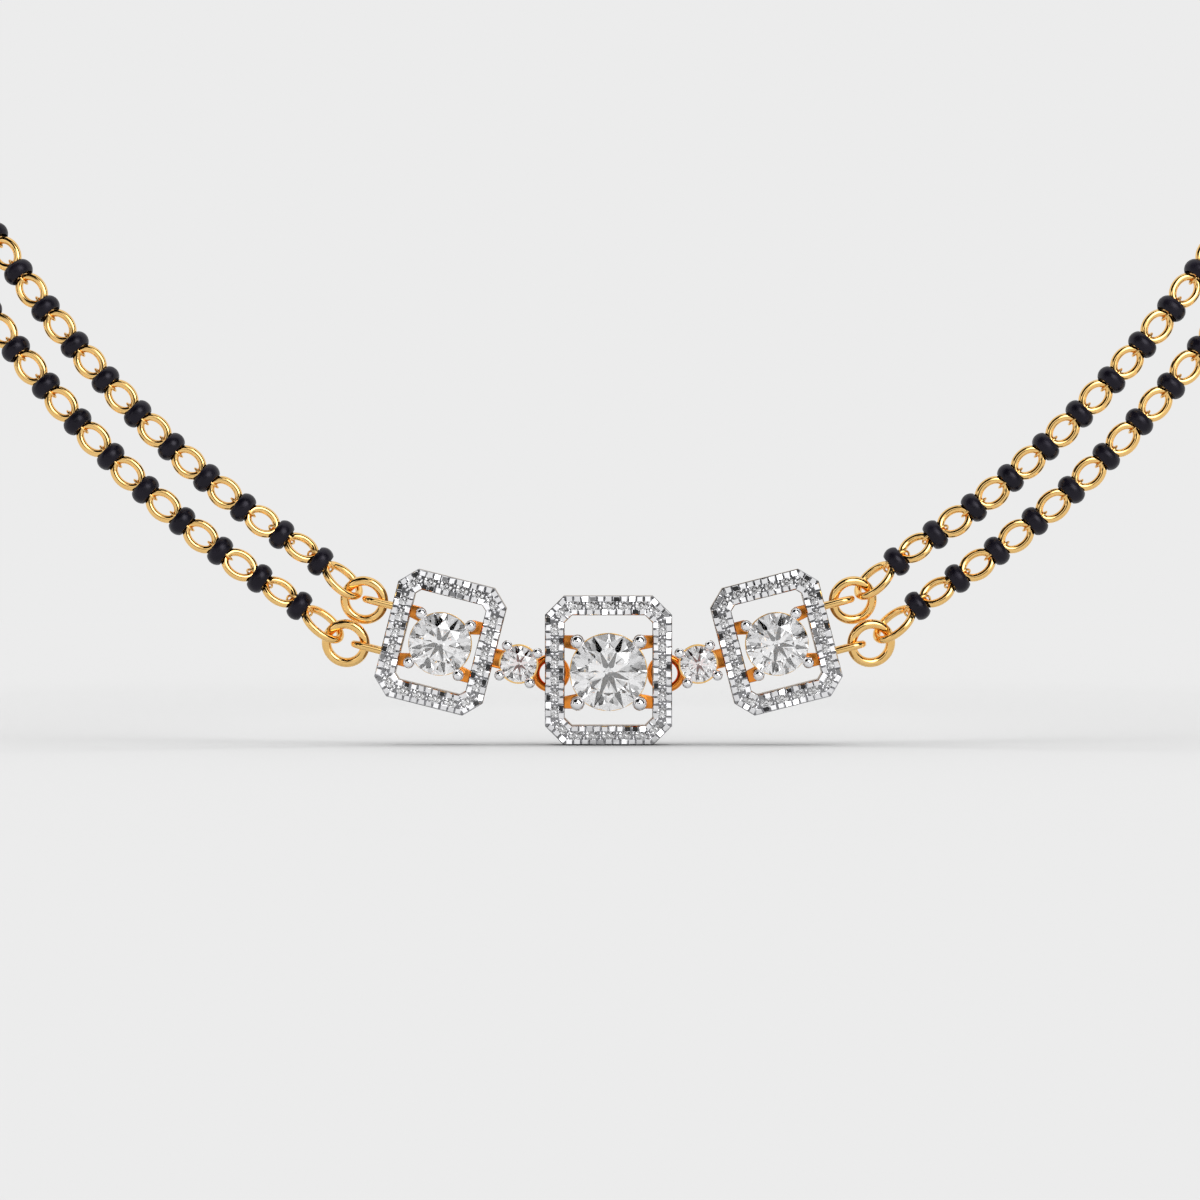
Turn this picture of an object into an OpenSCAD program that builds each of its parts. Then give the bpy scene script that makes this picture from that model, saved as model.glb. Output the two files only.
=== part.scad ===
// Mangalsutra: three diamond halos between double strands of black beads and gold links.
// The right half is modelled and the left half is its mirror image. Pendant pieces are drawn on
// the bench, x across, y up and z towards the viewer, and are then stood up.

/* [Centre halo] */
// Width of the centre halo
centre_w = 10.3; // [9.4:0.1:11.4]
// Height of the centre halo
centre_h = 12.1; // [11:0.1:13.4]
// Side of each cut corner of the centre halo
centre_corner = 1.54; // [1.2:0.02:1.9]

/* [Side halos] */
// Width of a side halo
side_w = 9.05; // [8.4:0.05:10.2]
// Height of a side halo
side_h = 10.65; // [9.8:0.05:12]
// Side of each cut corner of a side halo
side_corner = 1.34; // [1:0.02:1.7]
// Turn of a side halo away from upright, in degrees
side_tilt = 14.3; // [10:0.1:18]

/* [Halo bars] */
// Width of a halo's bars
band = 1.58; // [1.45:0.01:1.75]
// Depth of a halo from front to back
halo_deep = 2.2; // [1.9:0.05:2.6]

/* [Small stones] */
// Girdle diameter of the small stones in the halos
pave_d = 1.04; // [0.9:0.01:1.08]
// Distance between neighbouring small stones
pave_pitch = 1.34; // [1.3:0.01:1.5]

/* [Main stones] */
// Girdle diameter of the centre stone
centre_stone_d = 6.28; // [5.6:0.02:6.5]
// Girdle diameter of a side stone
side_stone_d = 5.1; // [4.6:0.02:5.3]
// Girdle diameter of an accent stone
accent_d = 2.98; // [2.7:0.02:3.3]
// How far the main stones sit below the middle of their halos
stone_drop = 0.15; // [0:0.01:0.3]
// How far the girdles stand in front of the halos' faces
girdle_lift = 0.1; // [0:0.01:0.3]

/* [Prongs] */
// Ball tip of a centre stone prong
centre_ball_d = 1.17; // [1.05:0.01:1.3]
// Ball tip of a side stone prong
side_ball_d = 0.94; // [0.86:0.01:1.1]
// Ball tip of an accent stone prong
accent_ball_d = 0.87; // [0.78:0.01:0.95]
// From a centre stone's girdle out to the middle of its prongs
centre_prong_out = 0.41; // [0.36:0.01:0.46]
// From a side stone's girdle out to the middle of its prongs
side_prong_out = 0.36; // [0.31:0.01:0.41]
// From an accent stone's girdle out to the middle of its prongs
accent_prong_out = 0.28; // [0.25:0.01:0.33]
// Height of the struts that hold the prongs, at the halo's bars
strut_h = 0.94; // [0.7:0.02:1.1]
// How much higher the struts are at the stone
strut_flare = 0.28; // [0.1:0.02:0.4]
// Depth of the struts
strut_deep = 0.9; // [0.7:0.02:1.1]

/* [Between the halos] */
// Length of the tab between a side halo and its accent setting
tab_len = 0.56; // [0.45:0.01:0.8]
// Height of that tab
tab_h = 1.54; // [1.2:0.02:2]
// Outer diameter of the eye behind the centre halo
eye_d = 3.14; // [2.9:0.02:3.4]
// Wire of that eye
eye_wire = 0.66; // [0.56:0.01:0.76]
// How far the eye sits below the middle of its accent stone
eye_drop = 0.15; // [0:0.01:0.2]
// How far the eye's middle lies outside the middle of the centre halo's bar
eye_out = 0.34; // [0.2:0.01:0.38]
// Thickness of the staples that hold the eyes
staple_wire = 0.5; // [0.4:0.01:0.56]

/* [Bails and jump rings] */
// Distance between the two bails of a side halo
bail_spread = 3.76; // [3.6:0.02:4.4]
// How far a bail stands out from its halo
bail_reach = 2.55; // [2.4:0.01:2.65]
// Wire of the bails
bail_wire = 0.6; // [0.5:0.01:0.64]
// Outer diameter of the jump rings
ring_d = 4; // [3.8:0.02:4.3]
// Wire of the jump rings
ring_wire = 0.78; // [0.68:0.01:0.82]
// Turn of a jump ring about the strand, in degrees
ring_turn = 16; // [14:0.5:19]
// Turn of the first link the other way, in degrees
link_turn = 56; // [54:0.5:59]
// How far a jump ring hangs below the line of its bail, in degrees
ring_sag = 7; // [4:0.5:9]
// From the halo's edge to the middle of the upper jump ring's wire
upper_ring_out = 0.76; // [0.72:0.01:0.94]
// From the halo's edge to the middle of the lower jump ring's wire
lower_ring_out = 1.35; // [1.1:0.01:1.5]

/* [Strands] */
// Length of one link and bead along the upper strands
upper_pitch = 3.82; // [3.6:0.01:4.1]
// Length of one link and bead along the lower strands
lower_pitch = 3.9; // [3.7:0.01:4.1]
// Width of an oval link
link_w = 2.5; // [2.26:0.01:2.66]
// Width of the link that hangs in a jump ring
first_link_w = 3.1; // [3:0.01:3.14]
// Wire of an oval link
link_wire = 0.64; // [0.56:0.01:0.7]
// Diameter of a black bead
bead_d = 2.48; // [2.36:0.01:2.66]
// Length of a black bead where its wall is thickest
bead_len = 1.66; // [1.46:0.01:1.8]
// Hole of a black bead
bore_d = 1.84; // [1.78:0.01:1.98]
// Wire of the small loops that join the links inside the beads
loop_wire = 0.2; // [0.18:0.01:0.24]

/* [Back of the neck] */
// Outer diameter of the end rings
end_ring_d = 5.7; // [5.3:0.05:6.6]
// Distance between the two holes of the clasp
clasp_span = 6.4; // [5.6:0.1:8]
// Width of the clasp
clasp_w = 2.4; // [2.2:0.05:3]
// Thickness of the clasp
clasp_t = 1.2; // [0.9:0.05:1.6]

/* [Clearances] */
// Between a stone and the metal round it
stone_gap = 0.06; // [0.04:0.01:0.08]
// Between joined links, rings and bails
link_gap = 0.13; // [0.12:0.01:0.14]
// Between a bead and the links and loop inside it
bead_gap = 0.1; // [0.08:0.01:0.12]
// Between a halo, the eye behind it and the staple
eye_gap = 0.15; // [0.1:0.01:0.25]

/* [Hidden] */

// Colours
gold = [0.87, 0.66, 0.33];
white_gold = [0.82, 0.82, 0.84];
diamond = [0.93, 0.95, 0.97];
bead_black = [0.07, 0.06, 0.09];

// Middle of the clasp, seen from the middle of the centre halo's face
nape = [0, 119, 77];

// Route of the right upper strand from its jump ring to the clasp. Columns: across, back, up,
// and the way the links face, in degrees round from the front. The last bead is added to it.
UPPER_ROUTE = [
    [19.85, 1.4, 5.65, 0],
    [23.4, 1.2, 8.8, 0],
    [29.7, 1.3, 13.2, 2],
    [35.6, 1.5, 18.2, 3],
    [41.2, 1.9, 23.9, 5],
    [46.4, 2.7, 30.1, 8],
    [51.2, 4.8, 36.8, 14],
    [55.9, 9.8, 44.2, 25],
    [60.3, 20.8, 52.8, 44],
    [63.3, 36.6, 60.8, 66],
    [63.9, 54.4, 67.0, 86],
    [61.0, 72.2, 71.6, 104],
    [53.8, 88.6, 74.8, 122],
    [42.7, 102.0, 77.2, 140],
    [30.0, 111.2, 79.0, 156],
    [20.0, 116.0, 79.9, 166],
    [13.2, 118.3, 79.8, 175]
];
// Route of the right lower strand, in the same columns
LOWER_ROUTE = [
    [21.35, 1.4, 2.15, 0],
    [25.1, 1.2, 5.2, 0],
    [31.6, 1.3, 9.7, 2],
    [37.7, 1.5, 14.7, 3],
    [43.4, 1.9, 20.4, 5],
    [48.9, 2.7, 26.9, 8],
    [53.9, 4.8, 33.8, 14],
    [58.7, 9.8, 41.2, 25],
    [63.3, 21.0, 49.6, 44],
    [66.5, 37.2, 57.4, 66],
    [67.2, 55.4, 63.4, 86],
    [64.2, 73.9, 67.6, 104],
    [56.6, 91.0, 70.4, 122],
    [44.9, 104.8, 72.2, 140],
    [31.0, 113.4, 73.4, 156],
    [20.6, 117.2, 73.9, 168],
    [13.4, 118.7, 74.3, 176]
];
// Links and beads that are modelled one by one at the front of each strand
UPPER_FRONT = 11;
LOWER_FRONT = 10;
// Rings and sides of the plain tube that stands for the rest of a strand
TAIL_RINGS = 20;
TAIL_SIDES = 8;
// Direction of a first link, in degrees above level
FIRST_LINK_RISE = 40;
// Distance from a jump ring's middle to the near tip of its first link
FIRST_LINK_BITE = 0.36;
// Links over which the turn of the first link fades out
TURN_FADE = 3;
// Angle between the upper or lower strand and the middle of its end ring
END_SPREAD = 26;
// Steps of each stretch of a route between two of its points
ROUTE_STEPS = 8;
// Rings round an oval link, and sides of its wire
OVAL_RINGS = 16;
WIRE_SIDES = 6;
// Shares of a round stone's diameter
TABLE = 0.56;
CROWN = 0.15;
GIRDLE = 0.03;
PAVILION = 0.43;
STAR = 0.5;
LOWER_HALF = 0.77;
// Overlap where metal is soldered, and the depths and rims of the small parts
SOLDER = 0.35;
TAB_RIM = 0.16;
TAB_DEEP = 1;
TAB_HOLLOW = 0.2;
TAB_BACK = 1.3;
SEAT_DEEP = 0.16;
SETTING_RIM = 0.03;
ACCENT_RIM = 0.12;
SETTING_DEEP = 0.5;
ACCENT_DEEP = 1.1;
DRUM_TOP = 0.6;

// Vectors
function unit(v) = v / norm(v);
function turned(v, axis, a) =
    v * cos(a) + cross(axis, v) * sin(a) + axis * (axis * v) * (1 - cos(a));
function flattened(v, n) = unit(v - n * (n * v));

// Places in the pendant
eye_at = [centre_w / 2 - band / 2 + eye_out, -stone_drop - eye_drop];
accent_u = -(side_w / 2 + tab_len + accent_d / 2);
eye_u = accent_u - accent_d / 2 - eye_d / 2 + SOLDER;
eye_v = -stone_drop - eye_drop;
side_at = eye_at - [eye_u * cos(side_tilt) - eye_v * sin(side_tilt),
                    eye_u * sin(side_tilt) + eye_v * cos(side_tilt)];
bail_mid = -(halo_deep / 2 + 0.05);
ring_r = (ring_d - ring_wire) / 2;
bail_r = ring_wire / 2 + link_gap + bail_wire / 2;
eye_front = -(halo_deep + eye_gap);
staple_hold = -(halo_deep + 2 * eye_gap + eye_wire);

// A bench point of the right side halo, as it stands in the pendant
function side_place(p) = [
    side_at[0] + p[0] * cos(side_tilt) - p[1] * sin(side_tilt),
    -p[2],
    side_at[1] + p[0] * sin(side_tilt) + p[1] * cos(side_tilt)
];

// Jump rings: each hangs in its bail and is turned about the first link's direction
first_dir = [cos(FIRST_LINK_RISE), 0, sin(FIRST_LINK_RISE)];
ring_normal = turned([0, -1, 0], first_dir, ring_turn);
ring_lean = side_tilt - ring_sag;
function ring_place(up, out) =
    side_place([side_w / 2 + out, up * bail_spread / 2, bail_mid])
    + ring_r * flattened([cos(ring_lean), 0, sin(ring_lean)], ring_normal);
upper_ring_at = ring_place(1, upper_ring_out);
lower_ring_at = ring_place(-1, lower_ring_out);

// Sizes of the strand pieces, measured from the middle of a bead: where the bore's lip is, how
// round the end of a link is, and so how far the link's tip can reach in with its clearance
bore_r = bore_d / 2;
bead_lip = sqrt(pow(bead_len / 2, 2) - pow(bore_r - (bead_d - bead_len) / 2, 2));
oval_b = (link_w - link_wire) / 2;
oval_end_r = pow(oval_b, 2) / ((upper_pitch - bead_len) / 2) + link_wire / 2;
link_tip = bead_lip + sqrt(pow(oval_end_r + bead_gap, 2) - pow(bore_r, 2)) - oval_end_r;
grip = link_tip + link_wire / 2;
loop_r = link_wire / 2 + link_gap + loop_wire / 2;
end_ring_r = (end_ring_d - link_wire) / 2;
end_ring_at = nape + [clasp_span / 2 + end_ring_r, 0, 0];
last_bead_out = end_ring_r + grip;

// Routes: the table follows its jump ring at the front and stays with the clasp at the back
function last_bead(up) =
    end_ring_at + last_bead_out * [cos(END_SPREAD), 0, up * sin(END_SPREAD)];
function shifted(table, start) =
    let (gap = start - [table[0][0], table[0][1], table[0][2]], last = len(table) - 1)
    [for (i = [0:last])
        [for (k = [0:3]) table[i][k] + (k < 3 ? gap[k] * (1 - i / last) : 0)]];
function with_end(table, up) =
    let (e = last_bead(up)) concat(table, [[e[0], e[1], e[2], 180]]);
// One point of the smooth curve through four neighbouring route points
function on_curve(a, b, c, d, t) =
    0.5 * (2 * b + (c - a) * t + (2 * a - 5 * b + 4 * c - d) * t * t
        + (3 * b - a - 3 * c + d) * t * t * t);
function curve(p) = let (last = len(p) - 1) [
    for (i = [0:last - 1], j = [0:ROUTE_STEPS - 1])
        on_curve(p[max(i - 1, 0)], p[i], p[i + 1], p[min(i + 2, last)], j / ROUTE_STEPS),
    p[last]
];
function spot(q) = [q[0], q[1], q[2]];
// The curve with the length along it in front of each point
function measured(c) = [
    for (i = 0, s = 0; i < len(c);
        s = s + (i + 1 < len(c) ? norm(spot(c[i + 1]) - spot(c[i])) : 0), i = i + 1)
        [s, c[i][0], c[i][1], c[i][2], c[i][3]]
];
function column(m, k) = [for (r = m) [r[0], r[k]]];
// A strand: lookup tables from the first bead on, its length and the true pitch
function strand(table, start, up, pitch) = let (
    full = measured(curve(with_end(shifted(table, start), up))),
    first = full[ROUTE_STEPS][0],
    m = [for (r = full) [r[0] - first, r[1], r[2], r[3], r[4]]],
    long = m[len(m) - 1][0],
    count = round(long / pitch)
) [column(m, 1), column(m, 2), column(m, 3), column(m, 4), long, long / count, count];
function at(st, s) = [lookup(s, st[0]), lookup(s, st[1]), lookup(s, st[2])];
function along(st, s) = unit(at(st, min(s + 0.4, st[4])) - at(st, s - 0.4));
function outward(st, s) = let (f = lookup(s, st[3])) flattened([sin(f), -cos(f), 0], along(st, s));

upper_strand = strand(UPPER_ROUTE, upper_ring_at, 1, upper_pitch);
lower_strand = strand(LOWER_ROUTE, lower_ring_at, -1, lower_pitch);

// Moves a piece drawn flat to a place, its length along t and its face towards n
module put(o, t, n) {
    w = cross(n, t);
    multmatrix([[t[0], w[0], n[0], o[0]], [t[1], w[1], n[1], o[1]],
        [t[2], w[2], n[2], o[2]], [0, 0, 0, 1]]) children();
}
module stand() rotate([90, 0, 0]) children();
module worn() translate([0, clasp_w / 2, 0] - nape) children();
module right_side() stand() translate(side_at) rotate([0, 0, side_tilt]) children();

module octagon(w, h, c) {
    polygon([
        [w / 2, h / 2 - c], [w / 2 - c, h / 2], [c - w / 2, h / 2], [-w / 2, h / 2 - c],
        [-w / 2, c - h / 2], [c - w / 2, -h / 2], [w / 2 - c, -h / 2], [w / 2, c - h / 2]
    ]);
}

// Middles of a halo's small stones: the four rows and one stone on each cut corner
function pave_spots(w, h, c) = let (
    x = w / 2 - band / 2,
    y = h / 2 - band / 2,
    nx = floor((w - 2 * c) / pave_pitch),
    ny = floor((h - 2 * c) / pave_pitch),
    in = c / 2 + band / 2 * sqrt(0.5)
) concat(
    [for (i = [0:nx - 1], s = [-1, 1]) [(i - (nx - 1) / 2) * pave_pitch, s * y]],
    [for (i = [0:ny - 1], s = [-1, 1]) [s * x, (i - (ny - 1) / 2) * pave_pitch]],
    [for (s = [-1, 1], t = [-1, 1]) [s * (w / 2 - in), t * (h / 2 - in)]]
);

module halo(w, h, c) {
    inner_c = c - band * (2 - sqrt(2));
    difference() {
        translate([0, 0, -halo_deep]) linear_extrude(halo_deep) difference() {
            octagon(w, h, c);
            octagon(w - 2 * band, h - 2 * band, inner_c);
        }
        for (p = pave_spots(w, h, c)) translate([p[0], p[1], 0]) {
            translate([0, 0, -SEAT_DEEP])
                cylinder(h = 2 * SEAT_DEEP, r = pave_d / 2 + stone_gap, $fn = 24);
            translate([0, 0, -halo_deep - 1])
                cylinder(h = halo_deep + 1, r = 0.4 * pave_d, $fn = 24);
        }
    }
}

// Four ball prongs at the corners of a square and the rim that the stone sits over
module setting(stone_d, prong_out, ball_d, deep, rim = SETTING_RIM) {
    reach = stone_d / 2 + prong_out;
    rise = sqrt(max(0, pow(ball_d / 2 + stone_gap, 2) - pow(prong_out, 2))) + GIRDLE * stone_d / 2;
    post_r = prong_out - 0.8 * stone_gap;
    rim_top = girdle_lift - 0.2 * prong_out - 0.12 * stone_d;
    rim_out = stone_d / 2 + rim;
    for (k = [0:3]) rotate([0, 0, 45 + 90 * k]) translate([reach, 0, 0]) {
        translate([0, 0, girdle_lift + rise]) sphere(d = ball_d, $fn = 32);
        translate([0, 0, -deep]) cylinder(h = deep + girdle_lift + rise, r = post_r, $fn = 24);
    }
    translate([0, 0, rim_top - SETTING_DEEP]) difference() {
        cylinder(h = SETTING_DEEP, r = rim_out, $fn = 64);
        translate([0, 0, -1]) cylinder(h = 2, r = 0.8 * rim_out, $fn = 64);
    }
}

// Struts from the prongs to a halo's upright bars, wider on the stone's side
module struts(stone_d, prong_out, w, deep) {
    off = (stone_d / 2 + prong_out) * sqrt(0.5);
    to = w / 2 - band + SOLDER;
    for (s = [-1, 1], t = [-1, 1]) translate([0, 0, -deep]) linear_extrude(strut_deep)
        polygon([
            [s * to, t * (off + strut_h / 2)], [s * off, t * (off + strut_h / 2)],
            [s * off, t * (off - strut_h / 2 - strut_flare)], [s * to, t * (off - strut_h / 2)]
        ]);
}

module staple() {
    far = eye_d / 2 + eye_gap + staple_wire;
    translate([eye_at[0] - staple_wire / 2, eye_at[1] - staple_wire / 2, 0]) {
        for (y = [0, far]) translate([0, y, staple_hold - staple_wire])
            cube([staple_wire, staple_wire, staple_wire - staple_hold - halo_deep + SOLDER]);
        translate([0, 0, staple_hold - staple_wire])
            cube([staple_wire, far + staple_wire, staple_wire]);
    }
}

module centre_frame() color(white_gold) worn() stand() {
    deep = 0.12 * centre_stone_d + strut_deep;
    halo(centre_w, centre_h, centre_corner);
    translate([0, -stone_drop, 0]) {
        setting(centre_stone_d, centre_prong_out, centre_ball_d, deep);
        struts(centre_stone_d, centre_prong_out, centre_w, deep);
    }
    staple();
    mirror([1, 0, 0]) staple();
}

module tab() {
    from = accent_u + accent_d / 2 - SOLDER / 2;
    long = tab_len + SOLDER / 2 + SOLDER;
    translate([from, -stone_drop - tab_h / 2, -TAB_BACK]) difference() {
        cube([long, tab_h, TAB_DEEP]);
        translate([TAB_RIM, TAB_RIM, TAB_DEEP - TAB_HOLLOW])
            cube([long, tab_h - 2 * TAB_RIM, TAB_DEEP]);
    }
}

// Accent setting on a drum that carries the eye
module accent_setting() {
    drum_r = 0.96 * accent_d / 2;
    bottom = eye_front - eye_wire;
    translate([accent_u, -stone_drop, 0]) {
        setting(accent_d, accent_prong_out, accent_ball_d, ACCENT_DEEP, ACCENT_RIM);
        translate([0, 0, bottom]) difference() {
            cylinder(h = -bottom - DRUM_TOP, r = drum_r, $fn = 48);
            translate([0, 0, -1]) cylinder(h = 1 - bottom, r = 0.55 * accent_d / 2, $fn = 48);
        }
    }
}

module eye() {
    translate([eye_u, eye_v, eye_front - eye_wire / 2])
        wire_ring((eye_d - eye_wire) / 2, eye_wire);
}

// A bail: two runs of wire, one behind the other, and the round end that joins them
module bail(up) {
    run = bail_reach - bail_r - bail_wire / 2;
    translate([side_w / 2, up * bail_spread / 2, bail_mid]) {
        for (s = [-1, 1]) translate([-SOLDER, 0, s * bail_r]) rotate([0, 90, 0])
            cylinder(h = run + SOLDER, d = bail_wire, $fn = 24);
        translate([run, 0, 0]) rotate([90, 0, 0]) rotate([0, 0, -90])
            rotate_extrude(angle = 180, $fn = 48) translate([bail_r, 0]) circle(d = bail_wire, $fn = 24);
    }
}

module side_frame() color(white_gold) right_side() {
    deep = 0.12 * side_stone_d + strut_deep;
    halo(side_w, side_h, side_corner);
    translate([0, -stone_drop, 0]) {
        setting(side_stone_d, side_prong_out, side_ball_d, deep);
        struts(side_stone_d, side_prong_out, side_w, deep);
    }
    tab();
    accent_setting();
    eye();
    for (up = [-1, 1]) bail(up);
}
module right_frame() worn() side_frame();
module left_frame() worn() mirror([1, 0, 0]) side_frame();

// Round brilliant with its table, star, kite and girdle facets, its girdle at z = 0 and each
// prong between two kites
module brilliant(d) {
    r = d / 2;
    rt = TABLE * r;
    flat = rt * cos(22.5);
    rs = flat + STAR * (r - flat);
    hg = GIRDLE * r;
    ht = hg + CROWN * d;
    hs = hg + (r - rs * cos(22.5)) * (ht - hg) / (r - rt);
    rl = (1 - LOWER_HALF) * r;
    hc = -PAVILION * d;
    hl = hc + (-hg - hc) * rl * cos(22.5) / r;
    points = concat(
        [for (k = [0:7]) [rt * cos(45 * k), rt * sin(45 * k), ht]],
        [for (k = [0:7]) [rs * cos(45 * k + 22.5), rs * sin(45 * k + 22.5), hs]],
        [for (k = [0:15]) [r * cos(22.5 * k), r * sin(22.5 * k), hg]],
        [for (k = [0:15]) [r * cos(22.5 * k), r * sin(22.5 * k), -hg]],
        [for (k = [0:7]) [rl * cos(45 * k + 22.5), rl * sin(45 * k + 22.5), hl]],
        [[0, 0, hc]]
    );
    s = 8;
    g = 16;
    b = 32;
    l = 48;
    c = 56;
    faces = concat(
        [[for (k = [7:-1:0]) k]],
        [for (k = [0:7]) [k, (k + 1) % 8, s + k]],
        [for (k = [0:7]) [k, s + k, g + 2 * k]],
        [for (k = [0:7]) [k, g + 2 * k, s + (k + 7) % 8]],
        [for (k = [0:7]) [s + k, g + 2 * k + 1, g + 2 * k]],
        [for (k = [0:7]) [s + k, g + (2 * k + 2) % 16, g + 2 * k + 1]],
        [for (k = [0:15]) [g + k, g + (k + 1) % 16, b + (k + 1) % 16, b + k]],
        [for (k = [0:7]) [l + k, b + 2 * k, b + 2 * k + 1]],
        [for (k = [0:7]) [l + k, b + 2 * k + 1, b + (2 * k + 2) % 16]],
        [for (k = [0:7]) [c, b + 2 * k, l + k]],
        [for (k = [0:7]) [c, l + (k + 7) % 8, b + 2 * k]]
    );
    rotate([0, 0, 22.5]) polyhedron(points, faces);
}

// Small stone: table, eight crown facets, girdle and eight pavilion facets
module small_stone(d) {
    r = d / 2;
    hg = GIRDLE * r;
    points = concat(
        [for (k = [0:7]) [TABLE * r * cos(45 * k), TABLE * r * sin(45 * k), hg + CROWN * d]],
        [for (k = [0:7]) [r * cos(45 * k), r * sin(45 * k), hg]],
        [for (k = [0:7]) [r * cos(45 * k), r * sin(45 * k), -hg]],
        [[0, 0, -PAVILION * d]]
    );
    faces = concat(
        [[for (k = [7:-1:0]) k]],
        [for (k = [0:7]) [k, (k + 1) % 8, 8 + (k + 1) % 8, 8 + k]],
        [for (k = [0:7]) [8 + k, 8 + (k + 1) % 8, 16 + (k + 1) % 8, 16 + k]],
        [for (k = [0:7]) [16 + k, 16 + (k + 1) % 8, 24]]
    );
    polyhedron(points, faces);
}

module centre_stone() color(diamond) worn() stand()
    translate([0, -stone_drop, girdle_lift]) brilliant(centre_stone_d);
module side_stone() color(diamond) right_side()
    translate([0, -stone_drop, girdle_lift]) brilliant(side_stone_d);
module accent_stone() color(diamond) right_side()
    translate([accent_u, -stone_drop, girdle_lift]) brilliant(accent_d);
module right_stone() worn() side_stone();
module left_stone() worn() mirror([1, 0, 0]) side_stone();
module right_accent_stone() worn() accent_stone();
module left_accent_stone() worn() mirror([1, 0, 0]) accent_stone();

module pave(w, h, c) {
    for (p = pave_spots(w, h, c)) translate([p[0], p[1], 0]) small_stone(pave_d);
}
module centre_pave() color(diamond) worn() stand() pave(centre_w, centre_h, centre_corner);
module side_pave() color(diamond) right_side() pave(side_w, side_h, side_corner);
module right_pave() worn() side_pave();
module left_pave() worn() mirror([1, 0, 0]) side_pave();

module wire_ring(r, wire) {
    rotate_extrude($fn = 48) translate([r, 0]) circle(d = wire, $fn = 24);
}
module jump_ring(where) color(gold) put(where, first_dir, ring_normal) wire_ring(ring_r, ring_wire);
module right_upper_ring() worn() jump_ring(upper_ring_at);
module right_lower_ring() worn() jump_ring(lower_ring_at);
module left_upper_ring() worn() mirror([1, 0, 0]) jump_ring(upper_ring_at);
module left_lower_ring() worn() mirror([1, 0, 0]) jump_ring(lower_ring_at);

// An arc of round wire about the origin, from one angle over a span
module arc_wire(r, wire, from, span) {
    rotate([0, 0, from]) rotate_extrude(angle = span, $fn = 64)
        translate([r, 0]) circle(d = wire, $fn = 16);
}

// Oval link, half length a and half width b to the middle of its wire: rings of points swept
// round an ellipse
module oval(a, b) {
    points = [
        for (i = [0:OVAL_RINGS - 1], j = [0:WIRE_SIDES - 1])
            let (
                t = 360 * i / OVAL_RINGS,
                n = unit([b * cos(t), a * sin(t), 0]),
                c = 360 * j / WIRE_SIDES
            )
            [a * cos(t), b * sin(t), 0] + link_wire / 2 * (n * cos(c) + [0, 0, sin(c)])
    ];
    faces = [
        for (i = [0:OVAL_RINGS - 1], j = [0:WIRE_SIDES - 1])
            let (k = i * WIRE_SIDES, l = ((i + 1) % OVAL_RINGS) * WIRE_SIDES, m = (j + 1) % WIRE_SIDES)
            each [[k + j, k + m, l + m], [k + j, l + m, l + j]]
    ];
    polyhedron(points, faces);
}

// Joining loop through a bead: two round ends and straight sides that reach a little into them
module joining_loop() {
    for (s = [0, 180]) rotate([0, 0, s]) {
        translate([grip, 0, 0]) arc_wire(loop_r, loop_wire, -90, 180);
        translate([-grip - loop_wire / 4, loop_r, 0]) rotate([0, 90, 0])
            cylinder(h = 2 * grip + loop_wire / 2, d = 0.96 * loop_wire, $fn = 16);
    }
}

// Turn of the pieces near the jump ring: k counts links, and half links for the loops
function turn_at(k) = -link_turn * max(0, 1 - k / TURN_FADE);
module on_strand(st, s, turn) {
    t = along(st, s);
    put(at(st, s), t, turned(outward(st, s), t, turn)) children();
}

// First link: from inside the jump ring to inside the first bead
module first_link(st, ring_at) {
    far = at(st, 0) - grip * along(st, 0);
    t = unit(far - ring_at);
    long = norm(far - ring_at) - FIRST_LINK_BITE - link_wire / 2;
    n = turned(flattened([0, -1, 0], t), t, turn_at(0));
    put(far - t * long / 2, t, n) oval(long / 2, (first_link_w - link_wire) / 2);
}

module chain(st, ring_at, front) color(gold) {
    half = st[5] / 2;
    first_link(st, ring_at);
    for (k = [0:front - 1]) {
        on_strand(st, k * st[5], turn_at(k + 0.5)) rotate([90, 0, 0]) joining_loop();
        on_strand(st, (k + 0.5) * st[5], turn_at(k + 1)) oval(half - grip, oval_b);
    }
}

// Rounded bead, bored for the loop and the links' tips, its axis along x
module bead() {
    rotate([0, 90, 0]) rotate_extrude($fn = 48) intersection() {
        translate([(bead_d - bead_len) / 2, 0]) circle(d = bead_len, $fn = 32);
        translate([bore_r, -bead_len]) square([bead_d, 2 * bead_len]);
    }
}
module beads(st, front) color(bead_black) {
    for (k = [0:front - 1]) on_strand(st, k * st[5], 0) bead();
}

// Plain tube over the rest of a strand: rings of points swept along the route
module tail(st, front) color(gold) {
    from = front * st[5] - link_tip + link_gap;
    to = st[4] + grip - link_wire / 2 - link_gap;
    points = [
        for (i = [0:TAIL_RINGS - 1], j = [0:TAIL_SIDES - 1])
            let (
                s = from + (to - from) * i / (TAIL_RINGS - 1),
                t = along(st, min(s, st[4])),
                n = outward(st, min(s, st[4])),
                a = 360 * (j + 0.5) / TAIL_SIDES
            )
            at(st, min(s, st[4])) + max(0, s - st[4]) * t
                + link_w / 2 * (n * cos(a) + cross(n, t) * sin(a))
    ];
    last = (TAIL_RINGS - 1) * TAIL_SIDES;
    faces = concat(
        [[for (j = [0:TAIL_SIDES - 1]) j]],
        [[for (j = [TAIL_SIDES - 1:-1:0]) last + j]],
        [for (i = [0:TAIL_RINGS - 2], j = [0:TAIL_SIDES - 1])
            let (k = i * TAIL_SIDES, m = (j + 1) % TAIL_SIDES)
            each [[k + j, k + TAIL_SIDES + j, k + TAIL_SIDES + m], [k + j, k + TAIL_SIDES + m, k + m]]]
    );
    polyhedron(points, faces);
}

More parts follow.
